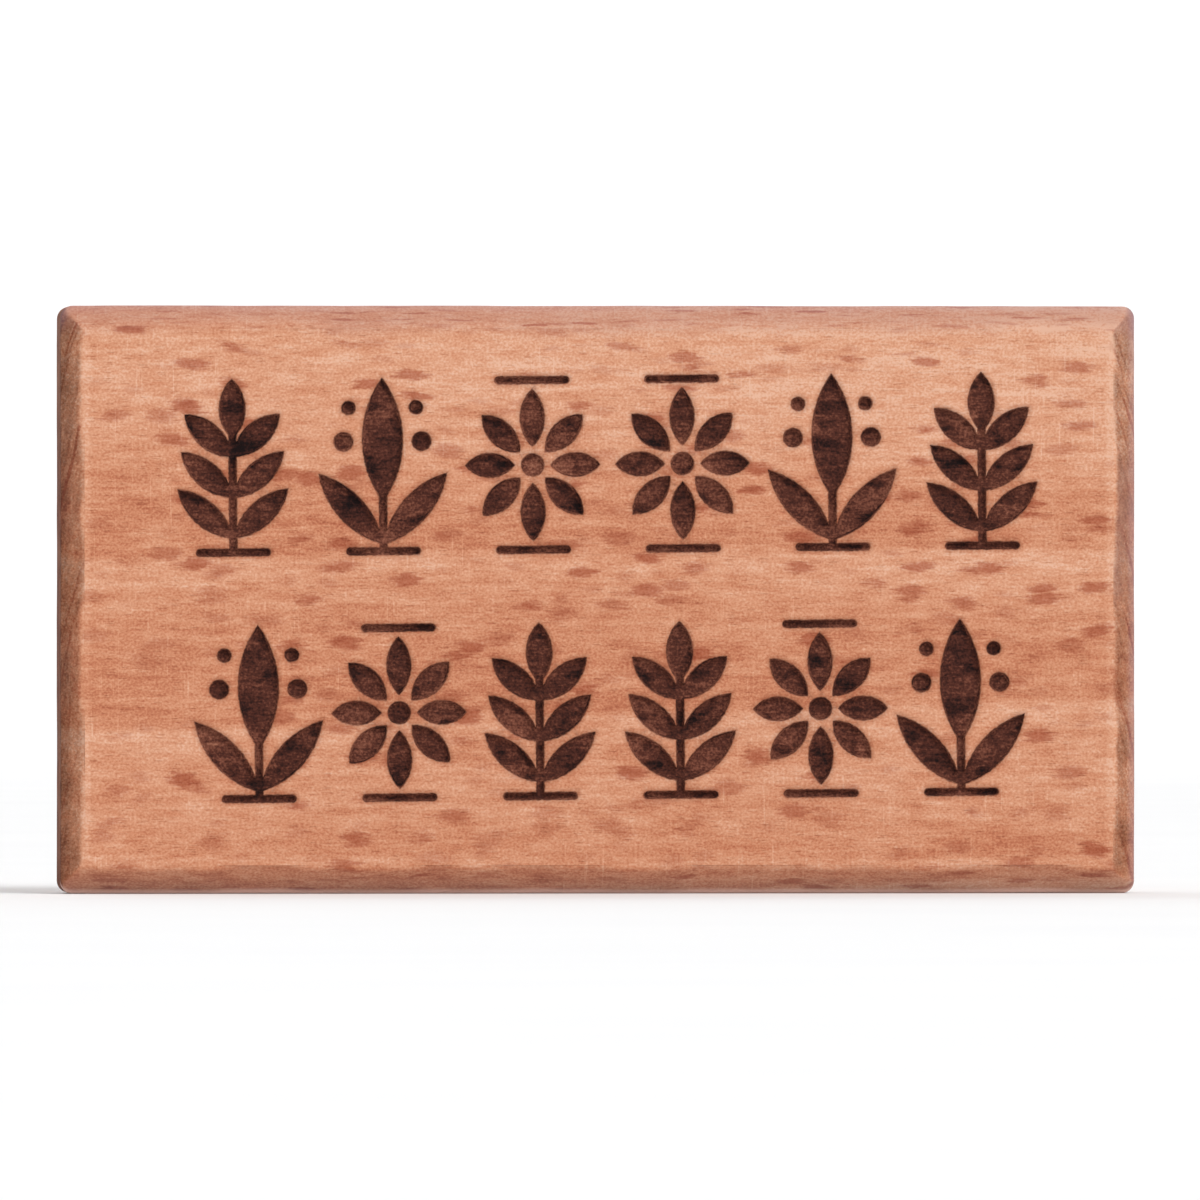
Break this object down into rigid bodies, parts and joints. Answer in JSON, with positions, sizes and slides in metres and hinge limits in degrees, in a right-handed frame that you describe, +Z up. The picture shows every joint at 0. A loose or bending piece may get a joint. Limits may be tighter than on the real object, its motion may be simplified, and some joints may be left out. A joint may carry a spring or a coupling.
{
  "type": "wooden plaque",
  "caption": "Small chamfered beech plaque with rows of engraved leaf and flower ornaments and disc magnets bonded into its back.",
  "frame": {"origin": "under the middle of the block, on the surface that its bottom edge stands on", "axes": "+X to the right along the width and the grain, as seen from the front; +Y from the engraved front towards the back; +Z up"},
  "size_m": [0.08, 0.009, 0.0437],
  "materials": {
    "beech": "sanded, unvarnished; engraved areas burnt dark brown",
    "nickel": "bright nickel plating",
    "cured_adhesive": "glossy, slightly amber"
  },
  "bodies": {
    "root": {"wooden_block": "beech", "left_magnet": "nickel", "right_magnet": "nickel", "left_adhesive": "cured_adhesive", "right_adhesive": "cured_adhesive"}
  },
  "joints": []
}
